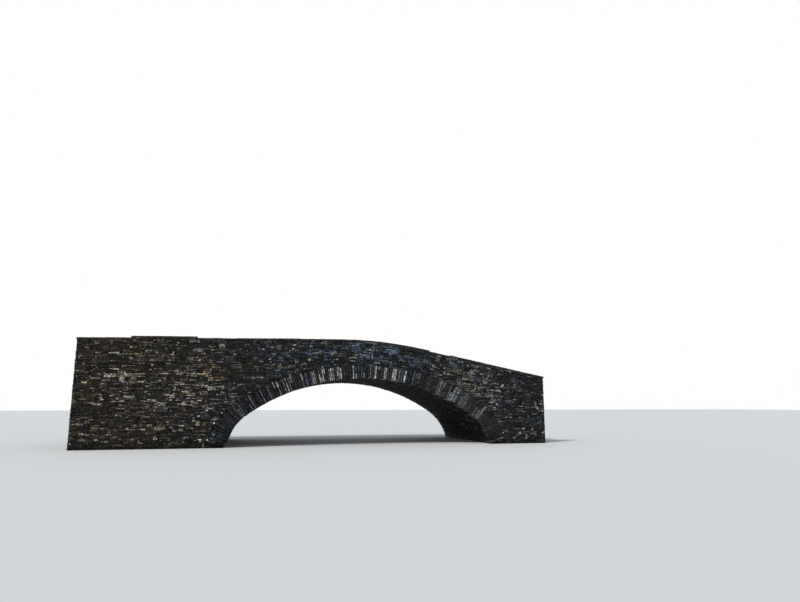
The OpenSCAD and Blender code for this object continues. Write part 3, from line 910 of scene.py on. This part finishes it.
# The road's surface: a grid at its worn height with small ripples, and a skirt down to the CAD road
def roadPiece(values):
    rng = np.random.default_rng(seeds["road"])
    columns = int((ends[1] - ends[0]) / values["cell"])
    rows = int(2 * roadHalf / values["cell"])
    s, t = np.meshgrid(np.linspace(*ends, columns), np.linspace(-roadHalf, roadHalf, rows), indexing="ij")
    rise = roadRise(s, t, values) + rng.uniform(-1, 1, s.shape) * values["ripple"]
    top = framePoints(s, t, roadHeight(s) + np.maximum(rise, values["least"])).reshape(-1, 3)
    grid = np.arange(columns * rows).reshape(columns, rows)
    front = np.stack([grid[:-1, :-1], grid[1:, :-1], grid[1:, 1:], grid[:-1, 1:]], axis=-1).reshape(-1, 4)
    rim = joined([grid[:-1, 0], grid[-1, :-1], grid[:0:-1, -1], grid[0, :0:-1]])
    under = columns * rows + np.arange(len(rim))
    skirt = np.stack([under, np.roll(under, -1), np.roll(rim, -1), rim], axis=-1)
    below = top[rim]
    below[:, 2] = roadHeight(below[:, 0] - bridge["crownX"])
    isTop = np.arange(len(front) + len(skirt)) < len(front)  # the skirt stays flat-shaded
    makePiece("road_wearing_course", wornRoad, "road_surface", joined([top, below]),
              [joined([front, skirt])], smooth=isTop)


# Loose stones on the road: three loops of six points each, more of them towards the parapets
def looseStones(values):
    rng = np.random.default_rng(seeds["looseStones"])
    count, around = values["stones"], 6
    s = rng.uniform(ends[0] + values["stoneMargin"], ends[1] - values["stoneMargin"], count)
    t = roadHalf * np.sign(rng.uniform(-1, 1, count))
    t = t * (1 - 0.98 * rng.random(count) ** values["crowding"]) * 0.985
    size = rng.uniform(*values["stoneSize"], (count, 1)) * rng.uniform(0.7, 1.3, (count, around))
    turn = np.linspace(0, 2 * np.pi, around, endpoint=False) + rng.uniform(0, 6.28, (count, 1))
    taper, lift = np.array([[1.0, 1.0, 0.6], [-0.6, 0.15, 0.6]])[:, :, None]
    x = s[:, None, None] + taper * (size * np.cos(turn))[:, None, :]
    y = t[:, None, None] + taper * (size * np.sin(turn))[:, None, :]
    y = np.clip(y, 0.002 - roadHalf, roadHalf - 0.002)
    ground = (roadHeight(s) + np.maximum(roadRise(s, t, values), values["least"]))[:, None, None]
    z = ground + lift * size.mean(axis=1)[:, None, None] * rng.uniform(0.7, 1.1, (count, 1, 1))
    points = framePoints(x, y, z)
    tone = dict(wallStones, patches=[], warmth=(0.8, 0.0), lean=0.0, spread=0.3, bright=1.4)
    tints = tintPoints(tintStones(rng, s, t, tone), 3, around, 0.5)
    makePiece("road_loose_stones", wallSlate, "road_surface", points, loftFaces(count, 3, around),
              tints, ownGrain(rng, points))


roadPiece(road)
looseStones(road)
print("road laid")

# Plain pale studio: a floor, an even pale world, one broad soft sun and the photograph's camera
studio = {
    "floor": (214, 214, 212), "floorReach": 400.0, "ambient": (0.46, 0.49, 0.54),
    "sunTurn": (46.0, 0.0, -56.0), "sunStrength": 2.3, "sunSoftness": 10.0,
    "cameraPlace": (-3.32, -30.74, 1.8), "cameraTurn": 13.61, "cameraTilt": 9.85, "cameraLens": 27.0,
}
bpy.ops.mesh.primitive_plane_add(size=studio["floorReach"])
floor = bpy.context.active_object
floor.name = "studio_floor"
floorGraph = Graph(bpy.data.materials.new("studioFloor"))
floorShader = floorGraph.node("ShaderNodeBsdfPrincipled", None, {
    "Base Color": colour(*studio["floor"]), "Roughness": 0.9, "Specular IOR Level": 0.1,
})
floorGraph.node("ShaderNodeOutputMaterial", None, {"Surface": floorShader})
floor.data.materials.append(floorGraph.owner)

world = bpy.data.worlds.new("studioWorld")
bpy.context.scene.world = world
sky = Graph(world)
path = sky.node("ShaderNodeLightPath", output="Is Camera Ray")
seen = path.larger(path.other("Is Glossy Ray")).larger(path.other("Is Transmission Ray"))
lit = sky.node("ShaderNodeBackground", None, {"Color": (*studio["ambient"], 1)})
white = sky.node("ShaderNodeBackground", None, {"Color": (1, 1, 1, 1)})
shown = sky.node("ShaderNodeMixShader", None, {0: seen, 1: lit, 2: white})
sky.node("ShaderNodeOutputWorld", None, {"Surface": shown})

sunData = bpy.data.lights.new("softSun", "SUN")
sunData.energy = studio["sunStrength"]
sunData.angle = math.radians(studio["sunSoftness"])
sun = bpy.data.objects.new("softSun", sunData)
sun.rotation_euler = [math.radians(turn) for turn in studio["sunTurn"]]
bpy.context.scene.collection.objects.link(sun)

cameraData = bpy.data.cameras.new("photoCamera")
cameraData.sensor_width = 36.0
cameraData.lens = studio["cameraLens"]
cameraData.clip_end = 1000.0
camera = bpy.data.objects.new("photoCamera", cameraData)
camera.location = studio["cameraPlace"]
camera.rotation_euler = (math.radians(90 + studio["cameraTilt"]), 0, -math.radians(studio["cameraTurn"]))
bpy.context.scene.collection.objects.link(camera)
bpy.context.scene.camera = camera
bpy.context.scene.view_settings.view_transform = "Standard"
print("studio ready")
